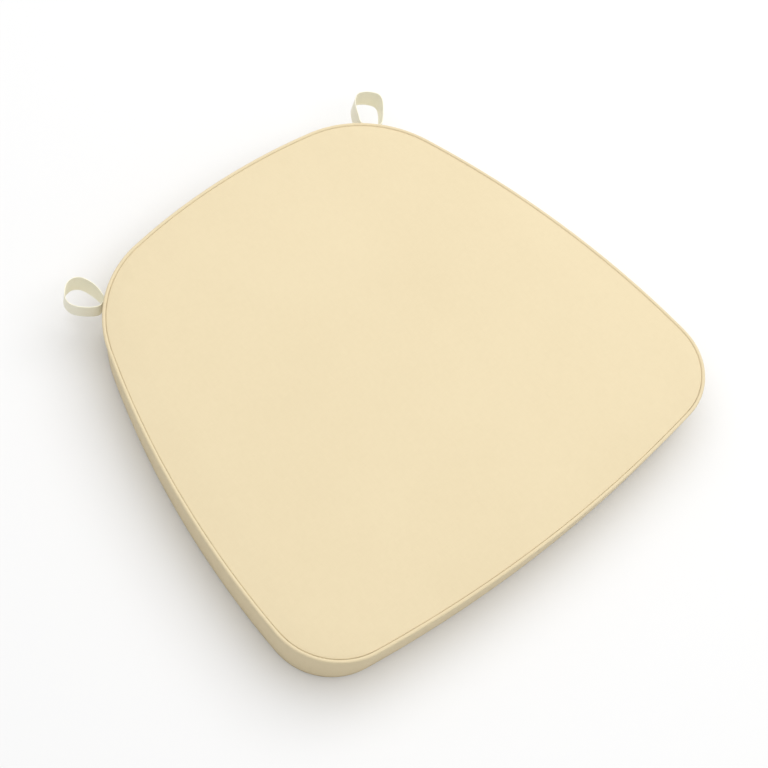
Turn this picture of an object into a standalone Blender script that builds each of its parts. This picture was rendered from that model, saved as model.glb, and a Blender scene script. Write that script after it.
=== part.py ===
"""Boxed and piped chair seat pad with a zipped cover and two ribbon loops.

Metres, +Z up. The origin is at the middle of the underside, the front edge
lies towards -Y and the zip and the loops are at the back, towards +Y.
"""

from math import acos, asin, atan2, ceil, cos, degrees, pi, radians, sin, sqrt

import bmesh
import bpy
from mathutils import Matrix, Vector

# Seam line round the top of the pad: four bowed edges and four round corners
front_width = 0.403
back_width = 0.258
pad_depth = 0.3765
front_bow = 0.0187
back_bow = 0.016
side_bow = 0.0256
front_corner = 0.054
back_corner = 0.092

# Heights of the pad, from the underside
pad_height = 0.0422
base_inset = 0.0046
panel_rise = 0.0008
crown_rise = 0.0022
roll_width = 0.009
crown_width = 0.030

# Cloth, filling and the space that touching pieces keep
gap = 0.0003
cloth = 0.0006
wadding_thickness = 0.004
wadding_inset = 0.0055

# Welt: a cord in a bias strip whose two flanges lie in the top seam
welt_radius = 0.0015
welt_cloth = 0.0004
welt_flange = 0.006
cord_clearance = 0.0003
flange_lean = radians(225)

# Zip in the back wall
zip_height = 0.0195
zip_length = 0.164
zip_window = 0.011
tape_width = 0.0095
tape_thickness = 0.0005
coil_half_width = 0.0011
coil_half_depth = 0.0006
stop_length = 0.0024
stop_overhang = 0.0004

# Slider and its pull tab
slider_length = 0.010
slider_wall = 0.0009
slider_clearance = 0.0004
bridge_height = 0.0030
bridge_length = 0.0052
bridge_width = 0.0018
bridge_thickness = 0.0008
pull_length = 0.017
pull_thickness = 0.0010
pull_arm = 0.0008
pull_side_clearance = 0.0004
pull_slot_length = 0.0055
pull_slot_width = 0.0018

# Ribbon loops in the two back seams
loop_angle = radians(49)
ribbon_width = 0.0155
ribbon_thickness = 0.0010
loop_drop = 0.0008
left_loop_reach = 0.0315
left_loop_spread = 0.0147
left_loop_lean = 0.0030
right_loop_reach = 0.0332
right_loop_spread = 0.0124
right_loop_lean = -0.0020

# How finely each stretch is divided
longest_step = 0.042
widest_turn = radians(9)
zip_step = 0.0125
welt_steps = 9
coil_sides = 8
loop_steps = 14
root_steps = 6

# Heights worked out from the sizes above
welt_z = pad_height - welt_radius
wall_top = welt_z - welt_radius - gap
wall_bottom = cloth + gap
panel_edge_z = welt_z
panel_flat_z = pad_height + panel_rise
panel_top_z = panel_flat_z + crown_rise


def clear_scene():
    for obj in list(bpy.data.objects):
        bpy.data.objects.remove(obj, do_unlink=True)


def material(name, colour, roughness, metallic=0.0):
    made = bpy.data.materials.new(name)
    made.use_nodes = True
    shader = made.node_tree.nodes["Principled BSDF"]
    shader.inputs["Base Color"].default_value = (*colour, 1.0)
    shader.inputs["Roughness"].default_value = roughness
    shader.inputs["Metallic"].default_value = metallic
    made.diffuse_color = (*colour, 1.0)
    return made


def new_object(name, bm, finish, smooth=True):
    bmesh.ops.recalc_face_normals(bm, faces=bm.faces)
    mesh = bpy.data.meshes.new(name)
    bm.to_mesh(mesh)
    bm.free()
    mesh.materials.append(finish)
    if smooth:
        mesh.shade_smooth()
        mesh.set_sharp_from_angle(angle=radians(35))
    obj = bpy.data.objects.new(name, mesh)
    bpy.context.scene.collection.objects.link(obj)
    return obj


# --- the outline -----------------------------------------------------------

def bow_radius(chord, bow):
    """Radius of the arc that stands bow proud of its chord."""
    return ((chord / 2) ** 2 + bow ** 2) / (2 * bow)


def corner_centre(centre_a, reach_a, centre_b, reach_b, corner):
    """The point at both reaches from the two centres that lies nearer the corner."""
    across = centre_b - centre_a
    span = across.length
    along = (reach_a ** 2 - reach_b ** 2 + span ** 2) / (2 * span)
    height = sqrt(reach_a ** 2 - along ** 2)
    unit = across / span
    foot = centre_a + unit * along
    side = Vector((-unit.y, unit.x)) * height
    return min((foot + side, foot - side), key=lambda point: (point - corner).length)


def angle_from(centre, point):
    return atan2(point.y - centre.y, point.x - centre.x)


def arc_stations(arc):
    """Places along an arc, each as centre, radius and angle, without the last one."""
    centre, radius, start, end, step = arc
    count = max(ceil((end - start) * radius / step), ceil((end - start) / widest_turn), 1)
    turn = (end - start) / count
    return [(centre.x, centre.y, radius, start + turn * i) for i in range(count)]


def split_arcs(arcs, length):
    """The arcs up to a length along them, and those after it."""
    before, after = [], []
    for centre, radius, start, end, step in arcs:
        angle = min(max(start + length / radius, start), end)
        if angle > start:
            before.append((centre, radius, start, angle, step))
        if angle < end:
            after.append((centre, radius, angle, end, step))
        length -= (end - start) * radius
    return before, after


def edge_circles():
    """Centre and radius of the front, right side and back edges."""
    front_radius = bow_radius(front_width, front_bow)
    back_radius = bow_radius(back_width, back_bow)
    front_point = Vector((front_width / 2, -pad_depth / 2))
    back_point = Vector((back_width / 2, pad_depth / 2))
    chord = back_point - front_point
    side_radius = bow_radius(chord.length, side_bow)
    outward = Vector((chord.y, -chord.x)).normalized()
    side_centre = (front_point + back_point) / 2 - outward * (side_radius - side_bow)
    return (
        (Vector((0, front_radius - pad_depth / 2)), front_radius),
        (side_centre, side_radius),
        (Vector((0, pad_depth / 2 - back_radius)), back_radius),
    )


def right_half():
    """Stations from the middle of the front edge to the middle of the back edge, and
    the places among them of the loop's seam and of the zip's end."""
    front, side, back = edge_circles()
    front_point = Vector((front_width / 2, -pad_depth / 2))
    back_point = Vector((back_width / 2, pad_depth / 2))
    corner_f = corner_centre(
        front[0], front[1] - front_corner, side[0], side[1] - front_corner, front_point)
    corner_b = corner_centre(
        back[0], back[1] - back_corner, side[0], side[1] - back_corner, back_point)
    front_end = angle_from(front[0], corner_f)
    side_start = angle_from(side[0], corner_f)
    side_end = angle_from(side[0], corner_b)
    back_start = angle_from(back[0], corner_b)
    to_loop = [
        (*front, -pi / 2, front_end, longest_step),
        (corner_f, front_corner, front_end, side_start, longest_step),
        (*side, side_start, side_end, longest_step),
        (corner_b, back_corner, side_end, loop_angle, longest_step),
    ]
    past_loop = [
        (corner_b, back_corner, loop_angle, back_start, longest_step),
        (*back, back_start, pi / 2, zip_step),
    ]
    past_loop_length = sum(arc[1] * (arc[3] - arc[2]) for arc in past_loop)
    to_zip, along_zip = split_arcs(past_loop, past_loop_length - zip_length / 2)
    stations, places = [], []
    for arcs in (to_loop, to_zip, along_zip):
        for arc in arcs:
            stations += arc_stations(arc)
        places.append(len(stations))
    stations.append((back[0].x, back[0].y, back[1], pi / 2))
    return stations, places[0], places[1]


def mirrored(station):
    x, y, radius, angle = station
    return (-x, y, radius, pi - angle)


half, right_loop_index, right_zip_index = right_half()
outline = half + [mirrored(station) for station in reversed(half[1:-1])]
left_zip_index = 2 * (len(half) - 1) - right_zip_index
left_loop_index = 2 * (len(half) - 1) - right_loop_index
back_centre = Vector((half[-1][0], half[-1][1], 0))
back_radius = half[-1][2]


def at(station, offset, z):
    """The point that lies offset outside the seam line at a station, at height z."""
    x, y, radius, angle = station
    return Vector((x + (radius + offset) * cos(angle), y + (radius + offset) * sin(angle), z))


def moved_along(station, distance):
    x, y, radius, angle = station
    return (x, y, radius, angle + distance / radius)


def stretch(first, last):
    """The stations from first to last, with half a gap taken off both ends."""
    inner = outline[first + 1:last] if last > first else outline[first + 1:] + outline[:last]
    start = moved_along(outline[first], gap / 2)
    end = moved_along(outline[last], -gap / 2)
    return [start] + inner + [end]


def wall(z, depth=0.0):
    """Offset of the leaning wall's outer face at height z, less a depth behind it."""
    return -base_inset * (1 - z / wall_top) - depth


# --- solids from a section or from rings ------------------------------------

def ring(bm, stations, offset, z):
    return [bm.verts.new(at(station, offset, z)) for station in stations]


def join_rings(bm, first, second, closed):
    count = len(first)
    for i in range(count if closed else count - 1):
        j = (i + 1) % count
        bm.faces.new((first[i], first[j], second[j], second[i]))


def swept(name, section, stations, finish, closed=False):
    """A section of (offset, z) points carried along the outline."""
    bm = bmesh.new()
    rings = [ring(bm, stations, offset, z) for offset, z in section]
    for first, second in zip(rings, rings[1:] + rings[:1]):
        join_rings(bm, first, second, closed)
    if not closed:
        bm.faces.new([line[0] for line in rings])
        bm.faces.new([line[-1] for line in reversed(rings)])
    return new_object(name, bm, finish)


def plate(name, rings_down, finish, centre_up=None, centre_down=None):
    """A whole-pad layer: rings of (offset, z) from its top middle over the edge to its
    bottom middle. Each face closes flat, or rises to a middle point of its own."""
    bm = bmesh.new()
    rings = [ring(bm, outline, offset, z) for offset, z in rings_down]
    for first, second in zip(rings, rings[1:]):
        join_rings(bm, first, second, closed=True)
    close_face(bm, rings[0], centre_up)
    close_face(bm, rings[-1], centre_down)
    return new_object(name, bm, finish)


def close_face(bm, edge, middle_z):
    if middle_z is None:
        bm.faces.new(edge)
        return
    # A ring halfway in keeps the crown round, and the middle is one point
    inner = []
    for vert in edge:
        x, y, z = vert.co
        inner.append(bm.verts.new((x / 2, y / 2, z + (middle_z - z) * 0.75)))
    join_rings(bm, edge, inner, closed=True)
    middle = bm.verts.new((0, 0, middle_z))
    for i, vert in enumerate(inner):
        bm.faces.new((vert, inner[(i + 1) % len(inner)], middle))


def prism(name, outline_points, low, high, finish, smooth=False):
    """A flat outline of (u, v) points raised from low to high along the third axis."""
    bm = bmesh.new()
    bottom = [bm.verts.new((u, v, low)) for u, v in outline_points]
    top = [bm.verts.new((u, v, high)) for u, v in outline_points]
    join_rings(bm, bottom, top, closed=True)
    bm.faces.new(bottom)
    bm.faces.new(reversed(top))
    return new_object(name, bm, finish, smooth)


def rounded_bar(length_back, length_front, half_width, steps=8):
    """A bar along X with a half-round end at the back and small front corners."""
    points = [(length_front, -half_width), (length_front, half_width)]
    for i in range(steps + 1):
        turn = pi / 2 + pi * i / steps
        points.append((half_width * cos(turn) - length_back + half_width,
                       half_width * sin(turn)))
    return points


def cut_with(obj, cutter, operation="DIFFERENCE"):
    cutter.hide_render = True
    cutter.display_type = "WIRE"
    modifier = obj.modifiers.new(cutter.name, "BOOLEAN")
    modifier.operation = operation
    modifier.object = cutter


# --- panels, filling and boxing ----------------------------------------------

def roll_profile(drop):
    """The rolled edge of the top, from the crown to the seam, drop below its outside."""
    steps = 4
    seam_offset = -(welt_radius + gap)
    points = [(seam_offset - roll_width - crown_width, panel_flat_z + crown_rise / 2 - drop)]
    for i in range(steps + 1):
        share = i / steps
        inwards = roll_width * (1 - share)
        height = sqrt(1 - share ** 2) if share < 1 else 0.0
        z = panel_edge_z + (panel_flat_z - panel_edge_z) * height
        points.append((seam_offset - inwards, z - drop))
    return points


def build_top_panel(finish):
    upper = roll_profile(0.0)
    lower = list(reversed(roll_profile(cloth)))
    return plate("top_panel", upper + lower, finish, panel_top_z, panel_top_z - cloth)


def foam_top_z():
    return panel_flat_z - cloth - gap - wadding_thickness - gap


def build_wadding(finish):
    """The soft layer between the panel and the foam, held in from the seam."""
    drop = cloth + gap
    upper = [point for point in roll_profile(drop) if point[0] < -wadding_inset]
    base = foam_top_z() + gap
    lower = [(upper[-1][0], base), (upper[0][0], base)]
    return plate("top_wadding", upper + lower, finish, centre_up=panel_top_z - drop)


def build_foam(finish):
    """The foam slab, with its top edge cut back to clear the flange of the welt."""
    side_depth = cloth + gap + tape_thickness + gap
    top = foam_top_z()
    # The cut edge lies across the flange's lean, where offset + height = edge_sum
    edge_sum = welt_z - (welt_flange + gap) * sqrt(2)
    side_z = (edge_sum + base_inset + side_depth) / (1 + base_inset / wall_top)
    rings = [
        (edge_sum - top, top),
        (wall(side_z, side_depth), side_z),
        (wall(wall_bottom, side_depth), wall_bottom),
    ]
    return plate("foam_core", rings, finish)


def build_bottom_panel(finish):
    edge = wall(0.0)
    return plate("bottom_panel", [(edge, cloth), (edge, 0.0)], finish)


def band(name, low, high, first, last, finish):
    section = [
        (wall(low), low),
        (wall(high), high),
        (wall(high, cloth), high),
        (wall(low, cloth), low),
    ]
    return swept(name, section, stretch(first, last), finish)


def build_boxing(finish):
    """The long band round the front and the sides, and the pieces across the back."""
    window_low = zip_height - zip_window / 2
    window_high = zip_height + zip_window / 2
    band("front_boxing_band", wall_bottom, wall_top, left_loop_index, right_loop_index, finish)
    band("right_back_band", wall_bottom, wall_top, right_loop_index, right_zip_index, finish)
    band("left_back_band", wall_bottom, wall_top, left_zip_index, left_loop_index, finish)
    band("upper_zip_band", window_high, wall_top, right_zip_index, left_zip_index, finish)
    band("lower_zip_band", wall_bottom, window_low, right_zip_index, left_zip_index, finish)


# --- welt --------------------------------------------------------------------

def turned(points, angle):
    return [(r * cos(angle) - v * sin(angle), r * sin(angle) + v * cos(angle))
            for r, v in points]


def welt_section():
    """An open ring of cloth whose two ends run on as flanges, side by side."""
    inner_radius = welt_radius - welt_cloth
    half_slit = gap / 2
    outer_half = half_slit + welt_cloth
    start_in = asin(half_slit / inner_radius)
    start_out = asin(outer_half / welt_radius)
    points = []
    for i in range(welt_steps + 1):
        angle = start_in + (2 * pi - 2 * start_in) * i / welt_steps
        points.append((inner_radius * cos(angle), inner_radius * sin(angle)))
    points.append((welt_flange, -half_slit))
    points.append((welt_flange, -outer_half))
    for i in range(welt_steps + 1):
        angle = -start_out - (2 * pi - 2 * start_out) * i / welt_steps
        points.append((welt_radius * cos(angle), welt_radius * sin(angle)))
    points.append((welt_flange, outer_half))
    points.append((welt_flange, half_slit))
    return [(x, z + welt_z) for x, z in turned(points, flange_lean)]


def build_welt(cloth_finish, cord_finish):
    swept("welt_cover", welt_section(), outline, cloth_finish, closed=True)
    cord_radius = welt_radius - welt_cloth - cord_clearance
    section = []
    for i in range(6):
        angle = pi / 3 * i
        section.append((cord_radius * cos(angle), welt_z + cord_radius * sin(angle)))
    swept("welt_cord", section, outline, cord_finish, closed=True)


# --- zip ---------------------------------------------------------------------

def zip_stations():
    return stretch(right_zip_index, left_zip_index)


def shortened(stations, length):
    """The same stretch with a length taken off each end."""
    start = moved_along(stations[0], length)
    end = moved_along(stations[-1], -length)
    inner = [station for station in stations if start[3] < station[3] < end[3]]
    return [start] + inner + [end]


def build_tape(name, side, finish):
    """A woven tape behind a zip band; side is +1 for the upper one."""
    near = zip_height + side * gap / 2
    far = near + side * tape_width
    face = cloth + gap
    section = [
        (wall(near, face), near),
        (wall(far, face), far),
        (wall(far, face + tape_thickness), far),
        (wall(near, face + tape_thickness), near),
    ]
    return swept(name, section, zip_stations(), finish)


def build_coil(name, side, finish):
    """A flat row of coil teeth along the edge of a tape."""
    middle_z = zip_height + side * (gap / 2 + coil_half_width)
    section = []
    for i in range(coil_sides):
        angle = 2 * pi * (i + 0.5) / coil_sides
        section.append((wall(middle_z) + coil_half_depth * cos(angle),
                        middle_z + coil_half_width * sin(angle)))
    return swept(name, section, shortened(zip_stations(), stop_length + gap), finish)


def build_stop(name, first, last, finish):
    """A small block that ends the row of teeth."""
    half_width = 2 * coil_half_width + gap / 2
    low, high = zip_height - half_width, zip_height + half_width
    lift = coil_half_depth + stop_overhang
    section = [
        (wall(low, -lift), low),
        (wall(high, -lift), high),
        (wall(high, coil_half_depth), high),
        (wall(low, coil_half_depth), low),
    ]
    return swept(name, section, [first, last], finish)


def build_zip(tape_finish, coil_finish, metal_finish):
    build_tape("upper_zip_tape", 1, tape_finish)
    build_tape("lower_zip_tape", -1, tape_finish)
    build_coil("upper_zip_coil", 1, coil_finish)
    build_coil("lower_zip_coil", -1, coil_finish)
    stations = zip_stations()
    first, last = stations[0], stations[-1]
    build_stop("right_zip_stop", first, moved_along(first, stop_length), metal_finish)
    build_stop("left_zip_stop", moved_along(last, -stop_length), last, metal_finish)


def slider_end_angle():
    """Angle from the middle of the back to the slider where it meets its stop."""
    reach = zip_length / 2 - gap / 2 - stop_length - gap - slider_length / 2
    return reach / back_radius


def slider_levels():
    """Distances out from the wall at the zip: channel mouth, channel floor and plate."""
    lean = base_inset / wall_top * (coil_half_width + gap / 2)
    mouth = -slider_clearance / 2
    floor = coil_half_depth + lean + slider_clearance
    return mouth, floor, floor + slider_wall


def slider_section():
    """A channel of (height, distance out) points that straddles both rows of teeth."""
    mouth, floor, face = slider_levels()
    inner = 2 * coil_half_width + gap / 2 + slider_clearance
    outer = inner + slider_wall
    return [(-outer, mouth), (-outer, face), (outer, face), (outer, mouth),
            (inner, mouth), (inner, floor), (-inner, floor), (-inner, mouth)]


def bridge_outline():
    """The arch over the slider that the pull tab hangs on, as (along, distance out)."""
    face = slider_levels()[2]
    root = face - slider_wall / 2
    half_out = bridge_length / 2
    half_in = half_out - bridge_thickness
    top = face + bridge_height
    shoulder = top - bridge_thickness
    return [(-half_out, root), (half_out, root), (half_out, shoulder), (half_in, top),
            (-half_in, top), (-half_out, shoulder)], [
            (-half_in, face), (half_in, face), (half_in, shoulder), (-half_in, shoulder)]


def stand_on_wall(obj, swing):
    """Turn a piece drawn as (along, out, up) round the centre of the back edge."""
    obj.location = back_centre
    obj.rotation_euler = (0, 0, swing)


def build_slider(finish):
    radius = back_radius + wall(zip_height)
    channel = prism("zip_slider", slider_section(), -slider_length / 2, slider_length / 2,
                    finish)
    # The section is drawn upright: its u is height and its v is distance out
    stand_up = Matrix(((0, 0, 1, 0), (0, 1, 0, radius), (1, 0, 0, zip_height), (0, 0, 0, 1)))
    channel.data.transform(stand_up)
    channel.data.flip_normals()
    block_points, hole_points = bridge_outline()
    lay_out = Matrix(((1, 0, 0, 0), (0, 1, 0, radius), (0, 0, 1, zip_height), (0, 0, 0, 1)))
    block = prism("slider_bridge", block_points, -bridge_width / 2, bridge_width / 2, finish)
    hole = prism("bridge_hole", hole_points, -bridge_width, bridge_width, finish)
    swing = -slider_end_angle()
    for piece in (block, hole):
        piece.data.transform(lay_out)
        stand_on_wall(piece, swing)
    stand_on_wall(channel, swing)
    cut_with(block, hole)
    cut_with(channel, block, "UNION")
    return channel


def pull_axis_out():
    """Distance from the wall to the pull tab's crossbar, midway under the arch."""
    face = slider_levels()[2]
    return face + (bridge_height - bridge_thickness) / 2


def build_pull(finish):
    """A flat tab lying along the teeth, whose crossbar turns under the slider's arch."""
    eye_half = bridge_width / 2 + pull_side_clearance
    half_width = eye_half + pull_arm
    bar = pull_thickness / 2
    arch_reach = sqrt((bridge_length / 2) ** 2 + ((bridge_height + bridge_thickness) / 2) ** 2)
    eye_end = arch_reach + pull_side_clearance
    low, high = -pull_thickness / 2, pull_thickness / 2
    tab = prism("zip_pull_tab", rounded_bar(pull_length, bar, half_width), low, high, finish)
    eye = prism("pull_eye", [(-eye_end, -eye_half), (-bar, -eye_half), (-bar, eye_half),
                             (-eye_end, eye_half)], 2 * low, 2 * high, finish)
    slot_end = pull_length - half_width
    slot_points = rounded_bar(slot_end, -(slot_end - pull_slot_length), pull_slot_width / 2)
    slot = prism("pull_slot", slot_points, 2 * low, 2 * high, finish)
    # Drawn flat as (along, height): stood up so that it faces out from the wall
    stand_up = Matrix.Rotation(pi / 2, 4, "X")
    centre = Vector((0, back_radius + wall(zip_height) + pull_axis_out(), zip_height))
    swing = Matrix.Rotation(-slider_end_angle(), 3, "Z")
    for piece in (tab, eye, slot):
        piece.data.transform(stand_up)
        piece.location = back_centre + swing @ centre
        piece.rotation_euler = (0, 0, -slider_end_angle())
    cut_with(tab, eye)
    cut_with(tab, slot)
    return tab


# --- ribbon loops --------------------------------------------------------------

def root_radius():
    """Half the thickness of the two sewn ribbon ends, side by side."""
    return ribbon_thickness + gap / 2


def root_out():
    """Distance from the seam line to the middle of the sewn ends, clear of the wall."""
    return gap + root_radius()


def loop_path(reach, spread, lean):
    """Middle line of a folded ribbon as (across, out) points, both ends at the root.

    Out runs as (1 - cos u) / 2 and across as sin u times sin(u / 2), which draws a
    drop whose point is at the seam. The two halves stand half a ribbon apart, so
    the far end has a short straight stretch. Lean is how far that end stands aside.
    """
    apart = (ribbon_thickness + gap) / 2
    bend = reach - ribbon_thickness / 2 - root_out()
    front, rear = [], []
    for i in range(loop_steps + 1):
        u = pi * i / loop_steps
        share = (1 - cos(u)) / 2
        across = apart + spread * sin(u) * sin(u / 2)
        front.append((lean * share + across, root_out() + bend * share))
        rear.append((lean * share - across, root_out() + bend * share))
    return front + rear[::-1]


def thickened(path):
    """Points half a thickness inside and outside a path, mitred at its joints."""
    inner, outer = [], []
    last = len(path) - 1
    for i, point in enumerate(path):
        here = Vector(point)
        before = (here - Vector(path[max(i - 1, 0)])).normalized()
        after = (Vector(path[min(i + 1, last)]) - here).normalized()
        before = before if i > 0 else Vector((0, 1))
        after = after if i < last else Vector((0, -1))
        middle = (before + after).normalized()
        normal = Vector((-middle.y, middle.x))
        half_turn = acos(min(1.0, before.dot(after))) / 2
        reach = ribbon_thickness / 2 / cos(half_turn)
        inner.append(here + normal * reach)
        outer.append(here - normal * reach)
    return inner, outer


def root_arc():
    """The round end that the sewn ribbon ends turn on, past the loop's last point."""
    points = []
    for i in range(1, root_steps):
        angle = pi + pi * i / root_steps
        points.append(Vector((root_radius() * cos(angle),
                              root_out() + root_radius() * sin(angle))))
    return points


def build_loop(name, station, shape, finish):
    """A ribbon loop standing on edge; its origin is on the line that it swings about."""
    inner, outer = thickened(loop_path(*shape))
    arc = root_arc()
    high = wall_top - loop_drop
    low = high - ribbon_width
    bm = bmesh.new()
    levels = []
    for z in (low, high):
        inside = [bm.verts.new((p.x, p.y - root_out(), z)) for p in inner]
        outside = [bm.verts.new((p.x, p.y - root_out(), z)) for p in outer + arc]
        join_rings(bm, inside, outside[:len(inside)], closed=False)
        bm.faces.new([inside[0], inside[-1]] + outside[len(inside) - 1:] + [outside[0]])
        levels.append((inside, outside))
    join_rings(bm, levels[0][0], levels[1][0], closed=True)
    join_rings(bm, levels[0][1], levels[1][1], closed=True)
    obj = new_object(name, bm, finish)
    obj.location = at(station, root_out(), 0.0)
    obj.rotation_euler = (0, 0, station[3] - pi / 2)
    return obj


def loops():
    """Name, station and shape (reach, spread, lean) of each loop."""
    return (
        ("right_loop", right_loop_index, (right_loop_reach, right_loop_spread, right_loop_lean)),
        ("left_loop", left_loop_index, (left_loop_reach, left_loop_spread, left_loop_lean)),
    )


def build_loops(finish):
    for name, index, shape in loops():
        build_loop(name, outline[index], shape, finish)


def print_places():
    """The places that a record of the pad's joints and faces needs."""
    middle_z = wall_top - loop_drop - ribbon_width / 2
    for name, index, (reach, _, lean) in loops():
        station = outline[index]
        aside = Vector((sin(station[3]), -cos(station[3]), 0)) * lean
        root = at(station, root_out(), middle_z)
        bearing = at(station, reach - ribbon_thickness, middle_z) + aside
        print(f"{name} turns about {tuple(round(v, 6) for v in root)}, its strap bears on "
              f"{tuple(round(v, 6) for v in bearing)}, outward {degrees(station[3]):.3f} degrees")
    travel = 2 * slider_end_angle()
    print(f"slider turns {degrees(travel):.3f} degrees about "
          f"{tuple(round(v, 6) for v in back_centre)}, radius {back_radius:.6f}")
    pull = bpy.data.objects["zip_pull_tab"].location
    print(f"pull tab turns about {tuple(round(v, 6) for v in pull)}")


def main():
    clear_scene()
    cover = material("cream_cloth", (0.87, 0.75, 0.51), 0.85)
    ribbon = material("cream_ribbon", (0.78, 0.71, 0.53), 0.75)
    cord = material("white_cord", (0.85, 0.84, 0.80), 0.9)
    foam = material("foam", (0.88, 0.83, 0.62), 0.95)
    wadding = material("white_wadding", (0.90, 0.90, 0.88), 1.0)
    tape = material("cream_tape", (0.80, 0.70, 0.50), 0.8)
    nylon = material("cream_nylon", (0.82, 0.74, 0.56), 0.45)
    nickel = material("nickel", (0.72, 0.70, 0.66), 0.3, 1.0)
    build_bottom_panel(cover)
    build_foam(foam)
    build_wadding(wadding)
    build_top_panel(cover)
    build_welt(cover, cord)
    build_boxing(cover)
    build_zip(tape, nylon, nickel)
    build_slider(nickel)
    build_pull(nickel)
    build_loops(ribbon)
    print_places()


main()
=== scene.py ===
import bmesh
import bpy
import numpy as np
from mathutils import Matrix, Vector


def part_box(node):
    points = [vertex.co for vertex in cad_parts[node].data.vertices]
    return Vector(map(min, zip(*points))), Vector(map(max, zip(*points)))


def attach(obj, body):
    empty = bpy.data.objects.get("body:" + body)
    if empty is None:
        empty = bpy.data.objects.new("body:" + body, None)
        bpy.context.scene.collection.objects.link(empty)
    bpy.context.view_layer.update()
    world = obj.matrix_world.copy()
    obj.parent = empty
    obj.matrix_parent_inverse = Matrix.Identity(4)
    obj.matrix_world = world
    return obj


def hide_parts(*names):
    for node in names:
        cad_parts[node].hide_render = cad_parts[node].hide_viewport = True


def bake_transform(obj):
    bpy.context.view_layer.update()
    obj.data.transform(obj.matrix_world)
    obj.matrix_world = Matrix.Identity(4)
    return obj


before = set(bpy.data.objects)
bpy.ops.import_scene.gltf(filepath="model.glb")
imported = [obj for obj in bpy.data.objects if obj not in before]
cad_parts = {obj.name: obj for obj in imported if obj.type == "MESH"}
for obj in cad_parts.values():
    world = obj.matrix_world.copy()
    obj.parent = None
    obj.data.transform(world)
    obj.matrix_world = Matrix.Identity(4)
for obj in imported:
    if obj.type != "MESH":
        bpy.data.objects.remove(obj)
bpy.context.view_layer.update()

mm = 0.001
tau = 2 * np.pi
scene = bpy.context.scene
draw = np.random.default_rng(11)  # every random draw comes from here, in order


# heights and radii that the frame holds
def frameHeights():
    weltCord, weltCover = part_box("welt_cord"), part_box("welt_cover")
    band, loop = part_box("front_boxing_band"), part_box("left_loop")
    upperTape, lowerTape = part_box("upper_zip_tape"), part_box("lower_zip_tape")
    weltZ = (weltCord[0].z + weltCord[1].z) / 2
    return dict(
        weltZ=weltZ, weltRadius=weltCover[1].z - weltZ, cordRadius=weltCord[1].z - weltZ,
        wallTop=band[1].z, wallBottom=band[0].z, crest=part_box("top_panel")[1].z,
        zipZ=(upperTape[0].z + lowerTape[1].z) / 2, tapeTop=upperTape[1].z, tapeBottom=lowerTape[0].z,
        windowTop=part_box("upper_zip_band")[0].z, windowBottom=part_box("lower_zip_band")[1].z,
        loopLow=loop[0].z, loopHigh=loop[1].z, foamTop=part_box("foam_core")[1].z)


level = frameHeights()


# the seam line: four bowed edges and four round corners
padOutline = dict(frontWidth=0.403, backWidth=0.258, depth=0.3765, frontBow=0.0187, backBow=0.016,
                  sideBow=0.0256, frontCorner=0.054, backCorner=0.092, baseInset=0.0046,
                  loopAngle=np.radians(49), zipLength=0.164)


def bowRadius(chord, bow):  # an arc that stands bow proud of its chord: ((chord/2)^2 + bow^2) / (2 bow)
    return ((chord / 2) ** 2 + bow ** 2) / (2 * bow)


def cornerCentre(a, reachA, b, reachB, near):  # where two circles cross, on the side nearer to a point
    span = np.hypot(*(b - a))
    along = (reachA ** 2 - reachB ** 2 + span ** 2) / (2 * span)
    way = (b - a) / span
    side = np.array([-way[1], way[0]]) * np.sqrt(reachA ** 2 - along ** 2)
    return min((a + way * along + side, a + way * along - side), key=lambda p: np.hypot(*(p - near)))


def bearing(centre, place):  # the angle at which a place lies from a centre
    return np.arctan2(place[1] - centre[1], place[0] - centre[0])


def seamArcs(o):  # centre x, centre y, radius, first angle, last angle, anticlockwise from the front middle
    frontR, backR = bowRadius(o["frontWidth"], o["frontBow"]), bowRadius(o["backWidth"], o["backBow"])
    frontC, backC = np.array([0, frontR - o["depth"] / 2]), np.array([0, o["depth"] / 2 - backR])
    frontP = np.array([o["frontWidth"], -o["depth"]]) / 2
    backP = np.array([o["backWidth"], o["depth"]]) / 2
    chord = backP - frontP
    sideR = bowRadius(np.hypot(*chord), o["sideBow"])
    outward = np.array([chord[1], -chord[0]]) / np.hypot(*chord)
    sideC = (frontP + backP) / 2 - outward * (sideR - o["sideBow"])
    cornerF = cornerCentre(frontC, frontR - o["frontCorner"], sideC, sideR - o["frontCorner"], frontP)
    cornerB = cornerCentre(backC, backR - o["backCorner"], sideC, sideR - o["backCorner"], backP)
    angles = [-np.pi / 2, bearing(frontC, cornerF), bearing(sideC, cornerF), bearing(sideC, cornerB),
              bearing(backC, cornerB), np.pi / 2]
    circles = [(*frontC, frontR), (*cornerF, o["frontCorner"]), (*sideC, sideR),
               (*cornerB, o["backCorner"]), (*backC, backR)]
    right = [(*c, a, b) for c, a, b in zip(circles, angles, angles[1:])]
    left = [(-x, y, r, np.pi - b, np.pi - a) for x, y, r, a, b in reversed(right)]
    return np.array(right + left)


arcs = seamArcs(padOutline)
arcLengths = arcs[:, 2] * (arcs[:, 4] - arcs[:, 3])
arcStarts = np.concatenate([[0], np.cumsum(arcLengths)])
seamLength = arcStarts[-1]
backMiddle = seamLength / 2
rightLoopAt = arcStarts[3] + padOutline["backCorner"] * (padOutline["loopAngle"] - arcs[3, 3])
leftLoopAt = seamLength - rightLoopAt
zipStart, zipEnd = backMiddle - padOutline["zipLength"] / 2, backMiddle + padOutline["zipLength"] / 2
frontCornerMiddle = arcStarts[1] + arcLengths[1] / 2
backCornerMiddle = arcStarts[3] + arcLengths[3] / 2


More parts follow.
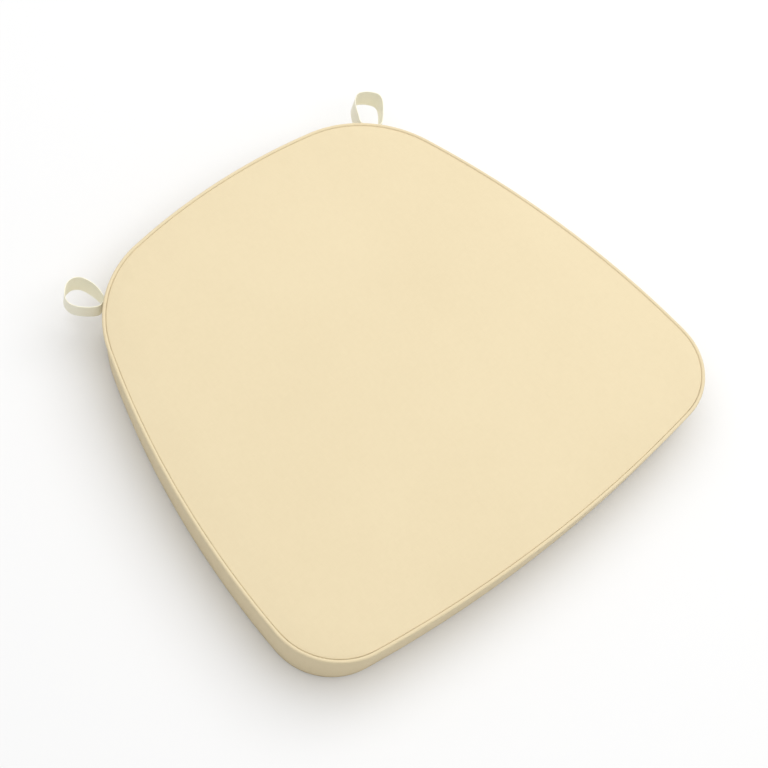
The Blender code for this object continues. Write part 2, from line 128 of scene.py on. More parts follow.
def alongSeam(s):  # place on the seam line and outward direction at length s round it
    s = np.mod(s, seamLength)
    i = np.clip(np.searchsorted(arcStarts, s, side="right") - 1, 0, len(arcs) - 1)
    angle = arcs[i, 3] + (s - arcStarts[i]) / arcs[i, 2]
    out = np.stack([np.cos(angle), np.sin(angle)], -1)
    return arcs[i, :2] + arcs[i, 2:3] * out, out


def swept(offset, z, s):  # points offset outside the seam line at height z: rows are the profile, columns s
    place, out = alongSeam(np.asarray(s))
    offset, z = np.broadcast_arrays(np.asarray(offset, float), np.asarray(z, float))
    if offset.ndim == 1:
        offset, z = np.repeat(offset[:, None], len(s), 1), np.repeat(z[:, None], len(s), 1)
    xy = place[None] + offset[..., None] * out[None]
    return np.concatenate([xy, z[..., None]], -1)


def wallAt(z):  # the wall leans in from the seam to the base, in a straight line
    return -padOutline["baseInset"] * (1 - np.asarray(z) / level["wallTop"])


def easeIn(x):  # 0 to 1 as 3x^2 - 2x^3
    x = np.clip(x, 0, 1)
    return x * x * (3 - 2 * x)


def unit(vectors):  # each row divided by its length
    return vectors / np.linalg.norm(vectors, axis=1, keepdims=True)


def runAlong(line):  # length from the first point of a flat line to each of its points
    return np.concatenate([[0], np.cumsum(np.hypot(*np.diff(line, axis=0).T))])


def seamWaves(s, shortest, longest, count=24):  # sum of sines of whole turns round the seam, about -1 to 1
    turns = np.round(seamLength / draw.uniform(shortest, longest, count))
    phases = draw.uniform(0, tau, count)
    waves = np.sin(tau * np.multiply.outer(np.asarray(s), turns) / seamLength + phases)
    return waves.sum(-1) / np.sqrt(count)


# meshes
def gridQuads(rows, cols, wrap=False):  # point (i, j) is number i cols + j; a wrapped row closes
    i, j = np.meshgrid(np.arange(rows - 1), np.arange(cols if wrap else cols - 1), indexing="ij")
    k = (j + 1) % cols
    return np.stack([i * cols + j, i * cols + k, (i + 1) * cols + k, (i + 1) * cols + j], -1).reshape(-1, 4)


# each quad's corner values, from values at the grid's lines, with one more column if it wraps
def gridMap(u, v):
    u, v = np.broadcast_arrays(u, v)
    both = np.stack([u, v], -1)
    corners = [both[:-1, :-1], both[:-1, 1:], both[1:, 1:], both[1:, :-1]]
    return np.stack(corners, 2).reshape(-1, 4, 2)


def quadNormals(points, quads):  # half the cross product of the two diagonals
    a, b, c, d = (points[quads[:, i]] for i in range(4))
    return np.cross(c - a, d - b) / 2


def turnOutwards(points, quads, maps, centre):  # most faces look away from the centre
    lean = ((points[quads].mean(1) - centre) * quadNormals(points, quads)).sum()
    if lean < 0:
        quads = quads[:, ::-1]
        maps = None if maps is None else maps[:, ::-1]
    return quads, maps


def placed(name, data):  # a new object in the scene
    made = bpy.data.objects.new(name, data)
    scene.collection.objects.link(made)
    return made


def newPiece(name, points, quads, maps=None, centre=(0, 0, 0.02)):
    points = np.asarray(points, float).reshape(-1, 3)
    quads, maps = turnOutwards(points, quads, maps, np.asarray(centre))
    mesh = bpy.data.meshes.new(name)
    mesh.from_pydata(points.tolist(), [], quads.tolist())
    if maps is not None:
        layer = mesh.uv_layers.new(name="clothMap")
        layer.data.foreach_set("uv", np.ascontiguousarray(maps, np.float32).ravel())
    mesh.shade_smooth()
    mesh.validate()
    return placed(name, mesh)


def thicken(piece, thickness):  # a wall inside the outer face
    wall = piece.modifiers.new("clothThickness", "SOLIDIFY")
    wall.thickness, wall.offset = thickness, -1
    wall.use_even_offset = False
    return piece


def subdivide(piece):
    smooth = piece.modifiers.new("smooth", "SUBSURF")
    smooth.levels = smooth.render_levels = 1
    return piece


def settle(piece, body, slot, material, *nodes):
    piece.data.materials.clear()
    piece.data.materials.append(material)
    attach(piece, body)
    if nodes:
        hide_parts(*nodes)
    return piece


# a panel: a patch between four curves, with rings of stations round it
panelGrid = dict(across=76, down=72, rollWidth=0.0092, rollPower=0.68, seamOffset=-0.00132,
                 edgeZ=level["weltZ"] + 0.00078, flatZ=0.0430, crownSpread=0.055,
                 crownTop=1.12, crownScale=1.1,
                 rollSteps=(0.01152, 0.0103, 0.009, 0.0074, 0.0057, 0.0041, 0.0027, 0.0015, 0.0006, 0.0))
acrossCount, downCount = panelGrid["across"], panelGrid["down"]
stationCount = 2 * (acrossCount + downCount)
insideCount = (downCount - 1) * (acrossCount - 1)


def panelStations():  # evenly spread on each side, between the middles of the round corners
    a, b = frontCornerMiddle, backCornerMiddle
    sides = [(-a, a, acrossCount), (a, b, downCount), (b, seamLength - b, acrossCount),
             (seamLength - b, seamLength - a, downCount)]
    return np.concatenate([np.linspace(start, end, count, endpoint=False) for start, end, count in sides])


stations = panelStations()


def borderIndices():  # the ring's stations laid round the edge of a (down+1) x (across+1) grid
    ring = np.arange(stationCount)
    n, m = acrossCount, downCount
    grid = np.full((m + 1, n + 1), -1)
    grid[0, :] = ring[:n + 1]
    grid[:, n] = ring[n:n + m + 1]
    grid[m, :] = ring[n + m:2 * n + m + 1][::-1]
    grid[:, 0] = np.append(ring[2 * n + m:], 0)[::-1]
    return grid


border = borderIndices()


# ruled between front and back, plus ruled between left and right, less the corners' own share
def patchInside(ringXY):
    edge = np.where(border[..., None] >= 0, ringXY[border], 0)
    v = np.linspace(0, 1, downCount + 1)[:, None, None]
    u = np.linspace(0, 1, acrossCount + 1)[None, :, None]
    ruled = (1 - v) * edge[:1] + v * edge[-1:] + (1 - u) * edge[:, :1] + u * edge[:, -1:]
    corners = ((1 - u) * (1 - v) * edge[0, 0] + u * (1 - v) * edge[0, -1]
               + (1 - u) * v * edge[-1, 0] + u * v * edge[-1, -1])
    return (ruled - corners)[1:-1, 1:-1].reshape(-1, 2)


def patchQuads(ringStart, insideStart):  # the patch's faces, its edge being the ring's own points
    index = np.where(border >= 0, border + ringStart, 0)
    index[1:-1, 1:-1] = insideStart + np.arange(insideCount).reshape(downCount - 1, -1)
    return np.stack([index[:-1, :-1], index[:-1, 1:], index[1:, 1:], index[1:, :-1]], -1).reshape(-1, 4)


seamPoints, _ = alongSeam(np.linspace(0, seamLength, 900, endpoint=False))


# rises from the seam as crownTop less the integral of exp(-distance / spread) along it, over 2 spread
def crownAt(xy):
    spread = panelGrid["crownSpread"]
    reach = np.hypot(xy[..., None, 0] - seamPoints[:, 0], xy[..., None, 1] - seamPoints[:, 1])
    near = np.exp(-reach / spread).sum(-1) * seamLength / len(seamPoints) / (2 * spread)
    crownRise = level["crest"] - panelGrid["flatZ"]
    return crownRise * np.clip(panelGrid["crownTop"] - near, 0, 1) / panelGrid["crownScale"]


def panelRings(offsets, heights):  # a row of stations at each offset and height
    return swept(offsets, heights, stations)


def rollZ(share):  # the edge rolls down as (1 - share^2)^rollPower, a little softer than a quarter ellipse
    low = panelGrid["edgeZ"]
    return low + (panelGrid["flatZ"] - low) * (1 - share ** 2) ** panelGrid["rollPower"]


def topRows():  # rows from the patch's border to the seam
    inset = np.array(panelGrid["rollSteps"])
    share = np.clip(1 - inset / panelGrid["rollWidth"], 0, 1)
    rings = panelRings(panelGrid["seamOffset"] - inset, rollZ(share))
    rings[..., 2] += crownAt(rings[..., :2]) * (1 - share[:, None]) ** 2
    return rings


def ringsAndPatch(rings, patchZ):  # one mesh: the rings, and a patch inside the first of them
    rows = len(rings)
    xy = patchInside(rings[0][:, :2])
    inside = np.concatenate([xy, patchZ(xy)[:, None]], -1)
    points = np.concatenate([rings.reshape(-1, 3), inside])
    quads = np.concatenate([gridQuads(rows, stationCount, wrap=True),
                            patchQuads(0, rows * stationCount)[:, ::-1]])
    return points, quads


def closedLayer(rings, patchZ, lowZ):  # the same with a second patch, at lowZ, inside the last ring
    points, quads = ringsAndPatch(rings, patchZ)
    under = patchInside(rings[-1][:, :2])
    basePatch = patchQuads((len(rings) - 1) * stationCount, len(points))
    points = np.concatenate([points, np.c_[under, np.full(len(under), lowZ)]])
    return points, np.concatenate([quads, basePatch])


# cloth simulation: the closed cover, held at its seams and filled with a little pressure
fillUp = dict(frames=20, topMost=0.0013, wallMost=0.0011, zipFade=0.022,
              cloth=dict(quality=6, mass=0.25, tension_stiffness=30, compression_stiffness=30,
                         bending_stiffness=8, use_pressure=True, uniform_pressure_force=4.0,
                         vertex_group_mass="seams"))
footZ = 0.0012  # where the wall's cloth turns in over the bottom seam
wallHeights = np.concatenate([np.linspace(level["wallTop"] - 0.0004, 0.004, 9), [footZ]])


def topZ(xy):  # the flat height plus the crown
    return panelGrid["flatZ"] + crownAt(xy)


def coverForm():  # top rows, wall rows and base as one closed mesh
    top = topRows()
    wall = panelRings(wallAt(wallHeights) - 0.0002, wallHeights)
    base = panelRings([wallAt(0) - 0.0006, wallAt(0) - 0.012], [0.0, 0.0])
    return *closedLayer(np.concatenate([top, wall, base]), topZ, 0.0), len(top), len(wall)


def eased(step, most):  # a move whose length becomes most * tanh(length / most)
    share = np.linalg.norm(step, axis=-1) / most
    return step * (np.tanh(share) / np.maximum(share, 1e-6))[..., None]


def puffedCover():  # how far the cover's points move: the top's rolled rows, its inside and the wall's rows
    points, quads, topCount, wallCount = coverForm()
    moved = np.zeros_like(points)
    form = newPiece("cover_form", points, quads)
    ringTotal = (topCount + wallCount + 2) * stationCount
    pins = np.zeros(len(points))
    pins[(topCount - 1) * stationCount:(topCount + 1) * stationCount] = 1
    pins[(topCount + wallCount - 1) * stationCount:ringTotal] = 1
    pins[len(points) - insideCount:] = 1
    group = form.vertex_groups.new(name="seams")
    group.add(np.flatnonzero(pins).tolist(), 1.0, "REPLACE")
    cloth = form.modifiers.new("fill", "CLOTH")
    for key, value in fillUp["cloth"].items():
        setattr(cloth.settings, key, value)
    cloth.settings.effector_weights.gravity = 0
    cloth.point_cache.frame_start, cloth.point_cache.frame_end = 1, fillUp["frames"]
    for number in range(1, fillUp["frames"] + 1):
        scene.frame_set(number)
    shape = form.evaluated_get(bpy.context.evaluated_depsgraph_get())
    found = np.empty(len(points) * 3, np.float32)
    shape.data.vertices.foreach_get("co", found)
    moved = found.reshape(-1, 3).astype(float) - points
    scene.frame_set(1)
    bpy.data.objects.remove(form)
    rings = moved[:(topCount + wallCount) * stationCount].reshape(-1, stationCount, 3)
    inside = moved[(topCount + wallCount + 2) * stationCount:][:insideCount]
    return (eased(rings[:topCount], fillUp["topMost"]), eased(inside, fillUp["topMost"]),
            eased(rings[topCount:], fillUp["wallMost"]))


topMove, insideMove, wallMove = puffedCover()
for part, move in (("rolled edge", topMove), ("top", insideMove), ("wall", wallMove)):
    print("cover filled:", part, "moves up to", round(float(np.abs(move).max()) / mm, 2), "mm")


def pastZip(s, reach):  # 0 along the zip, easing to 1 within a reach of its ends
    return easeIn((np.abs(s - backMiddle) - padOutline["zipLength"] / 2) / reach)


def wallPuff(z, s):  # outward swelling of the wall at heights z and lengths s, none along the zip
    _, out = alongSeam(stations)
    outward = (wallMove[..., :2] * out[None]).sum(-1)
    order = np.argsort(np.mod(stations, seamLength))
    knots = np.mod(stations, seamLength)[order]
    rows = np.stack([np.interp(np.mod(s, seamLength), knots, row[order], period=seamLength)
                     for row in outward])
    heights = wallHeights[::-1]
    rows = rows[::-1]
    place = np.clip(np.interp(z, heights, np.arange(len(heights))), 0, len(heights) - 1.001)
    low = place.astype(int)
    part = (place - low)[:, None]
    swell = rows[low] * (1 - part) + rows[low + 1] * part
    return swell * pastZip(s, fillUp["zipFade"])[None]


# materials
def mathNode(operation, reflected=False):  # a method that adds one Math node for a value and the others
    def method(self, *others):
        values = (*others, self) if reflected else (self, *others)
        return self.bench.sum(operation, *values)
    return method


class Flow:  # a node's output, so that sums can be written as sums
    def __init__(self, bench, socket):
        self.bench, self.socket = bench, socket

    __add__, __radd__ = mathNode("ADD"), mathNode("ADD", True)
    __sub__, __rsub__ = mathNode("SUBTRACT"), mathNode("SUBTRACT", True)
    __mul__, __rmul__ = mathNode("MULTIPLY"), mathNode("MULTIPLY", True)
    __truediv__, __abs__ = mathNode("DIVIDE"), mathNode("ABSOLUTE")
    wave, fraction = mathNode("COSINE"), mathNode("FRACT")
    larger, smaller, power = mathNode("MAXIMUM"), mathNode("MINIMUM"), mathNode("POWER")

    def within(self):  # no less than 0 and no more than 1
        return self.larger(0.0).smaller(1.0)


class Bench:  # one material and the nodes on it
    def __init__(self, name, **fixed):
        self.material = bpy.data.materials.new(name)
        self.material.use_nodes = True
        self.tree = self.material.node_tree
        self.shader = self.tree.nodes["Principled BSDF"]
        for socket, value in fixed.items():
            self.shader.inputs[socket.replace("_", " ")].default_value = value

    def node(self, kind, settings=None, inputs=None, output=0):
        made = self.tree.nodes.new(kind)
        for key, value in (settings or {}).items():
            setattr(made, key, value)
        for key, value in (inputs or {}).items():
            if isinstance(value, Flow):
                self.tree.links.new(value.socket, made.inputs[key])
            else:
                made.inputs[key].default_value = value
        return Flow(self, made.outputs[output])

    def sum(self, operation, *values):
        return self.node("ShaderNodeMath", {"operation": operation}, dict(enumerate(values)))

    def objectPlace(self):
        return self.node("ShaderNodeTexCoord", output="Object")

    def clothPlace(self):
        return self.node("ShaderNodeUVMap", {"uv_map": "clothMap"})

    def parts(self, vector):
        return [self.node("ShaderNodeSeparateXYZ", None, {0: vector}, i) for i in range(3)]

    def together(self, x, y, z):
        return self.node("ShaderNodeCombineXYZ", None, {0: x, 1: y, 2: z})

    def noise(self, vector, scale, detail=2.0, roughness=0.5):
        return self.node("ShaderNodeTexNoise", None,
                         {"Vector": vector, "Scale": scale, "Detail": detail, "Roughness": roughness})

    def blend(self, share, first, second):
        return self.node("ShaderNodeMix", {"data_type": "RGBA"},
                         {0: share, 6: (*first, 1) if isinstance(first, tuple) else first,
                          7: (*second, 1) if isinstance(second, tuple) else second}, 2)

    def bump(self, height, distance, strength=1.0, below=None):
        inputs = {"Height": height, "Distance": distance, "Strength": strength}
        if below is not None:
            inputs["Normal"] = below
        return self.node("ShaderNodeBump", None, inputs)

    def feed(self, **links):
        for socket, flow in links.items():
            self.tree.links.new(flow.socket, self.shader.inputs[socket.replace("_", " ")])
        return self.material


# threads lie on whole numbers, and warp and weft pass over each other as cos(pi u) cos(pi v)
def plainWeave(u, v):
    a, b = (u * np.pi).wave(), (v * np.pi).wave()
    over = a * b * 0.4
    warp, weft = abs(a) * 0.6 + over, abs(b) * 0.6 - over
    return warp.larger(weft), ((warp - weft) * 3 + 0.5).within()


weaveFinish = dict(thread=0.42 * mm, depth=0.09 * mm, diagonal=0.7071,
                   light=(0.735, 0.625, 0.415), dark=(0.695, 0.585, 0.380))


# lighter where a thread stands high, which is painted shade in the weave's hollows, and lighter where a
# thread is thick, over a faint cloudiness
def wovenCloth(name, turned=False, flat=True):
    bench = Bench(name, Roughness=0.86, Sheen_Weight=0.12, Sheen_Roughness=0.45, Specular_IOR_Level=0.25,
                  Sheen_Tint=(1.0, 0.96, 0.86, 1))
    place = bench.objectPlace()
    x, y, _ = bench.parts(place if flat else bench.clothPlace())
    if turned:  # cut on the bias
        x, y = (x + y) * weaveFinish["diagonal"], (x - y) * weaveFinish["diagonal"]
    u, v = x / weaveFinish["thread"], y / weaveFinish["thread"]
    slubU = bench.noise(bench.together(u * 0.9, v * 0.035, 0.0), 1.0, 2.0)
    slubV = bench.noise(bench.together(u * 0.035, v * 0.9, 7.0), 1.0, 2.0)
    height, warpOn = plainWeave(u + (slubV - 0.5) * 0.5, v + (slubU - 0.5) * 0.5)
    thick = slubU * warpOn + slubV * (1 - warpOn)
    cloud = bench.noise(place, 9.0, 3.0, 0.55)
    fine = bench.noise(place, 260.0, 2.0)
    # the colour is lighter on raised threads and darker between them (painted shade), and it also follows
    # thick threads and clouds, the cloth's own uneven tone
    share = (0.5 + (height - 0.45) * 0.55 + (thick - 0.5) * 1.5 + (cloud - 0.5) * 1.1
             + (fine - 0.5) * 0.5).within()
    colour = bench.blend(share, weaveFinish["dark"], weaveFinish["light"])
    rough = 0.82 + (1 - height) * 0.12
    soft = bench.bump(cloud * 0.6 + fine * 0.06, 0.5 * mm)
    cloth = bench.bump(height + (thick - 0.5) * 0.5, weaveFinish["depth"], 0.8, below=soft)
    return bench.feed(Base_Color=colour, Roughness=rough, Normal=cloth)


coverFlat = wovenCloth("cream_cloth_flat")
coverWall = wovenCloth("cream_cloth_wall", flat=False)
weltCloth = wovenCloth("cream_cloth_bias", turned=True, flat=False)


ribbonFinish = dict(ribPitch=0.75 * mm, warpPitch=0.28 * mm)


def grosgrain():  # ribs across the ribbon, each a rounded hump, with fine warp threads between them
    bench = Bench("cream_ribbon", Roughness=0.7, Sheen_Weight=0.15, Sheen_Roughness=0.4,
                  Specular_IOR_Level=0.3)
    place = bench.objectPlace()
    along, across, _ = bench.parts(bench.clothPlace())
    rib = abs((along * (np.pi / ribbonFinish["ribPitch"])).wave())
    warp = (across * (tau / ribbonFinish["warpPitch"])).wave() * 0.5 + 0.5
    cloud = bench.noise(place, 60.0, 3.0)
    fibre = bench.noise(bench.together(along * 500.0, across * 5200.0, 0.0), 1.0, 2.0)
    # the colour is lighter on the rib crests and warp threads and darker between them (painted shade), over
    # the ribbon's own cloudy and fibrous tone
    share = (0.35 + rib * 0.4 + (warp - 0.5) * 0.12 + (cloud - 0.5) * 0.8 + (fibre - 0.5) * 0.7).within()
    # both tones are paler than the cover's: partly the ribbon's own paler cream, partly painted light from
    # the side, the floor and through the thin ribbon
    colour = bench.blend(share, (0.86, 0.82, 0.655), (0.95, 0.92, 0.76))
    normal = bench.bump(rib.power(0.6) + warp * 0.15 + fibre * 0.2, 0.12 * mm, 0.9)
    return bench.feed(Base_Color=colour, Roughness=0.62 + (1 - rib) * 0.2, Normal=normal)


tapeFinish = dict(turnEvery=2.4 * mm, ridgePitch=0.55 * mm, threadPitch=0.3 * mm)


def zipTapeCloth():  # herringbone twill: diagonal ridges whose direction turns every few millimetres
    bench = Bench("cream_zip_tape", Roughness=0.75, Sheen_Weight=0.08, Specular_IOR_Level=0.3)
    along, across, _ = bench.parts(bench.clothPlace())
    zigzag = abs((across / tapeFinish["turnEvery"]).fraction() - 0.5) * tapeFinish["turnEvery"]
    ridge = ((along + zigzag) * (tau / tapeFinish["ridgePitch"])).wave() * 0.5 + 0.5
    thread = (across * (tau / tapeFinish["threadPitch"])).wave() * 0.5 + 0.5
    cloud = bench.noise(bench.objectPlace(), 90.0, 3.0)
    # the colour is lighter on the twill ridges and thread crests and darker in the hollows between them
    # (painted shade), over the tape's own cloudy tone
    share = (0.3 + ridge * 0.45 + thread * 0.1 + (cloud - 0.5) * 0.9).within()
    colour = bench.blend(share, (0.63, 0.535, 0.36), (0.76, 0.665, 0.465))
    return bench.feed(Base_Color=colour, Roughness=0.8 - ridge * 0.1,
                      Normal=bench.bump(ridge + thread * 0.3, 0.08 * mm, 0.8))


def coilNylon():  # smooth, a little uneven in colour and gloss
    bench = Bench("cream_nylon", Roughness=0.38, Specular_IOR_Level=0.5)
    cloud = bench.noise(bench.objectPlace(), 700.0, 2.0)
    colour = bench.blend(cloud, (0.70, 0.61, 0.44), (0.80, 0.72, 0.55))
    return bench.feed(Base_Color=colour, Roughness=0.32 + cloud * 0.16, Normal=bench.bump(cloud, 0.02 * mm))


def satinNickel():  # fine brushing along the part, with duller handling marks
    bench = Bench("satin_nickel", Metallic=1.0, Roughness=0.3)
    place = bench.objectPlace()
    x, y, z = bench.parts(place)
    brushed = bench.noise(bench.together(x * 900.0, y * 900.0, z * 9000.0), 1.0, 3.0)
    smudge = bench.noise(place, 420.0, 2.0)
    colour = bench.blend(smudge, (0.56, 0.54, 0.50), (0.70, 0.68, 0.64))
    return bench.feed(Base_Color=colour, Roughness=0.2 + brushed * 0.12 + smudge * 0.14,
                      Normal=bench.bump(brushed, 0.012 * mm))


def cottonCord():  # fibres drawn out along the cord
    bench = Bench("white_cotton_cord", Roughness=0.9, Sheen_Weight=0.2)
    along, around, _ = bench.parts(bench.clothPlace())
    fibre = bench.noise(bench.together(along * 900.0 + around * 2.0, around * 9.0, 0.0), 1.0, 3.0)
    colour = bench.blend(fibre, (0.70, 0.69, 0.64), (0.86, 0.85, 0.81))
    return bench.feed(Base_Color=colour, Normal=bench.bump(fibre, 0.15 * mm))


def openCellFoam():  # cells as the distance to scattered points
    bench = Bench("upholstery_foam", Roughness=0.95, Specular_IOR_Level=0.2)
    place = bench.objectPlace()
    cell = bench.node("ShaderNodeTexVoronoi", None, {"Vector": place, "Scale": 1400.0})
    cloud = bench.noise(place, 35.0, 3.0)
    # the colour darkens away from each cell's middle, where the bump sinks: painted shade in the hollows
    # between cells, over the foam's own cloudy tone
    share = (cell * 0.9 + (cloud - 0.5) * 0.7).within()
    colour = bench.blend(share, (0.86, 0.80, 0.58), (0.68, 0.60, 0.38))
    return bench.feed(Base_Color=colour, Normal=bench.bump(1 - cell, 0.35 * mm, 0.8))


def fibreWadding():  # soft tufts with fine strands over them
    bench = Bench("white_wadding", Roughness=1.0, Sheen_Weight=0.3, Specular_IOR_Level=0.15)
    place = bench.objectPlace()
    tuft = bench.noise(place, 120.0, 4.0, 0.65)
    strand = bench.noise(place, 1500.0, 2.0)
    colour = bench.blend((tuft * 0.7 + strand * 0.3).within(), (0.76, 0.76, 0.74), (0.92, 0.92, 0.90))
    return bench.feed(Base_Color=colour, Normal=bench.bump(tuft + strand * 0.25, 0.9 * mm, 0.9))


def sewingThread():  # fine even grain
    bench = Bench("cream_thread", Roughness=0.55, Sheen_Weight=0.2)
    place = bench.objectPlace()
    twist = bench.noise(place, 2600.0, 2.0)
    colour = bench.blend(twist, (0.70, 0.61, 0.42), (0.84, 0.76, 0.57))
    return bench.feed(Base_Color=colour, Normal=bench.bump(twist, 0.04 * mm))


ribbonCloth, tapeCloth, coilFinish, metalFinish = grosgrain(), zipTapeCloth(), coilNylon(), satinNickel()
cordFinish, foamFinish = cottonCord(), openCellFoam()
waddingFinish, threadFinish = fibreWadding(), sewingThread()
print("materials ready")


# the panels
clothLay = dict(thickness=0.6 * mm, pucker=0.10 * mm, puckerWaves=(0.009, 0.05), puckerReach=0.006,
                puckerDepth=0.0105, flangeLean=np.radians(225), flangeClear=0.95 * mm, allowance=0.0052,
                turnIn=(0.0013, 0.0018, 0.0024, 0.0036))


# a place t along the flange from the cord's middle, on its upper (+1) or lower (-1) side
def besideFlange(t, side):
    lean = clothLay["flangeLean"]
    along = np.array([np.cos(lean), np.sin(lean)])
    across = np.array([-along[1], along[0]]) * -side
    return t * along + clothLay["flangeClear"] * across + np.array([0, level["weltZ"]])


# the filled patch and its rolled rows, puckered by exp(-depth / reach), and a turned-in edge
def buildTopPanel():
    rings = topRows() + topMove
    ripple = seamWaves(stations, *clothLay["puckerWaves"]) * clothLay["pucker"]
    depth = np.linspace(clothLay["puckerDepth"], 0, len(rings))
    rings[..., 2] += ripple * (np.exp(-depth / clothLay["puckerReach"]) * (depth > 0.0003))[:, None]
    turnIn = np.array([besideFlange(t, 1) for t in (*clothLay["turnIn"], clothLay["allowance"])])
    tucked = panelRings(turnIn[:, 0], turnIn[:, 1])
    points, quads = ringsAndPatch(np.concatenate([rings, tucked]), topZ)
    points[-len(insideMove):] += insideMove
    piece = newPiece("top_panel_cloth", points, quads)
    subdivide(thicken(piece, clothLay["thickness"]))
    settle(piece, "pad", "cover_cloth", coverFlat, "top_panel")


# rows inward from the base's edge, and how far each has turned up
baseLay = dict(inward=(10.0, 6.5, 3.5, 1.6, 0.7, 0.25, 0.05, 0.05), up=(0, 0, 0, 0, 0, 0.08, 0.28, 0.5))


def buildBottomPanel():  # a flat patch whose edge turns up
    offsets = float(wallAt(0)) - np.array(baseLay["inward"]) * mm
    heights = np.array(baseLay["up"]) * mm
    points, quads = ringsAndPatch(panelRings(offsets, heights), lambda xy: np.zeros(len(xy)))
    piece = newPiece("bottom_panel_cloth", points, quads)
    subdivide(thicken(piece, clothLay["thickness"] * 0.9))
    settle(piece, "pad", "cover_cloth", coverFlat, "bottom_panel")


buildTopPanel()
buildBottomPanel()
print("panels made")


# the wall: five bands whose edges turn in at the seams
bandCut = dict(columnPitch=0.0042, rowPitch=0.0026, endRadius=0.0009, endSpan=2.2, endTuck=0.0011,
               gap=0.0001, seamRipple=0.24 * mm, rippleWaves=(0.010, 0.045), rippleReach=0.007,
               quietReach=0.01, quietShare=0.15, fade=0.003, besideWelt=(0.0034, 0.0024), belowWelt=0.0008,
               pastFold=0.0006, pastFoot=0.0019,
               # pairs in millimetres: out from the seam line and up from the wall's top, under the welt;
               # inward and back from a fold; inward and up from the base
               underWelt=((-0.45, 0.02), (-0.12, -0.2)), fold=((0.6, 0.0), (0.25, 0.03), (0.06, 0.18)),
               foot=((0.25, 0.54), (0.6, 0.27), (1.2, 0.054), (1.9, 0.0)))


# lengths along the seam, and how far each end turns in: a quarter circle, then straight
def bandColumns(start, end):
    r = bandCut["endRadius"]
    turn = np.radians([90, 60, 30, 0])
    near, drop = r * (1 - np.sin(turn)), r * (1 - np.cos(turn))
    near, drop = np.append(0, near), np.append(r + bandCut["endTuck"], drop)
    start, end = start + bandCut["gap"], end - bandCut["gap"]
    count = max(int((end - start) / bandCut["columnPitch"]), 4)
    middle = np.linspace(start + bandCut["endSpan"] * r, end - bandCut["endSpan"] * r, count)
    s = np.concatenate([start + near, middle, (end - near)[::-1]])
    return s, np.concatenate([drop, np.zeros(count), drop[::-1]])


# a profile down the wall, carried along the seam, with the wall's swell and ripples near the seams
def buildBand(name, start, end, topEdge, bottomEdge, node):
    s, drop = bandColumns(start, end)
    rows = []
    if topEdge is None:  # tucked beside the welt's flange
        rows += [tuple(besideFlange(t, -1)) for t in (clothLay["allowance"], *bandCut["besideWelt"])]
        rows += [(out * mm, level["wallTop"] + up * mm) for out, up in bandCut["underWelt"]]
        high = level["wallTop"] - bandCut["belowWelt"]
    else:  # a folded edge along the zip
        rows += [(wallAt(topEdge) - inward * mm, topEdge - down * mm) for inward, down in bandCut["fold"]]
        high = topEdge - bandCut["pastFold"]
    if bottomEdge is None:  # turned in over the bottom seam
        base = level["wallBottom"]
        low = bandCut["pastFoot"]
        tail = [(wallAt(base) - inward * mm, base + up * mm) for inward, up in bandCut["foot"]]
    else:
        low = bottomEdge + bandCut["pastFold"]
        tail = [(wallAt(bottomEdge) - inward * mm, bottomEdge + up * mm)
                for inward, up in bandCut["fold"][::-1]]
    middle = np.linspace(high, low, max(int((high - low) / bandCut["rowPitch"]), 4))
    profile = np.array(rows + [(wallAt(z), z) for z in middle] + tail)
    offset = np.repeat(profile[:, :1], len(s), 1)
    height = np.repeat(profile[:, 1:], len(s), 1)
    up, down = profile[:, 1] - footZ, level["wallTop"] - profile[:, 1]
    share = easeIn(up / bandCut["fade"]) * easeIn(down / bandCut["fade"])
    offset += wallPuff(profile[:, 1], s) * share[:, None]
    fromSeam = np.minimum(np.abs(down), np.abs(up))
    quiet = pastZip(s, bandCut["quietReach"]) * (1 - bandCut["quietShare"]) + bandCut["quietShare"]
    ripple = seamWaves(s, *bandCut["rippleWaves"]) * bandCut["seamRipple"] * quiet
    offset += ripple[None] * (np.exp(-fromSeam / bandCut["rippleReach"]) * share)[:, None]
    offset -= drop[None]
    points = swept(offset, height, s)
    maps = gridMap(s[None], -runAlong(profile)[:, None])
    piece = newPiece(name, points, gridQuads(*offset.shape), maps)
    subdivide(thicken(piece, clothLay["thickness"] * 0.9))
    settle(piece, "pad", "cover_cloth", coverWall, node)


def buildBands():
    top, bottom = level["windowTop"], level["windowBottom"]
    buildBand("front_boxing_cloth", leftLoopAt - seamLength, rightLoopAt, None, None, "front_boxing_band")
    buildBand("right_back_cloth", rightLoopAt, zipStart, None, None, "right_back_band")
    buildBand("left_back_cloth", zipEnd, leftLoopAt, None, None, "left_back_band")
    buildBand("upper_zip_cloth", zipStart, zipEnd, None, top, "upper_zip_band")
    buildBand("lower_zip_cloth", zipStart, zipEnd, bottom, None, "lower_zip_band")


buildBands()
print("bands made")


# the welt: a cord in a strip of bias cloth, with both flanges in the seam
welt = dict(pitch=0.0011, sides=19, cloth=0.4 * mm, flange=(0.006, 0.0042, 0.0024),
            halfFlange=0.55 * mm, slack=0.02 * mm, wrinkle=0.035 * mm, wrinkleMiddle=0.6, wander=0.02 * mm,
            stitch=0.0031, biasTurn=0.8, joinAt=0.099, joinLength=0.006, joinSlant=0.0015,
            joinRise=0.09 * mm, joinDip=0.08 * mm, joinSharp=9, cordPitch=0.0009, cordSides=18,
            strandLay=0.0062, strandDip=0.24)


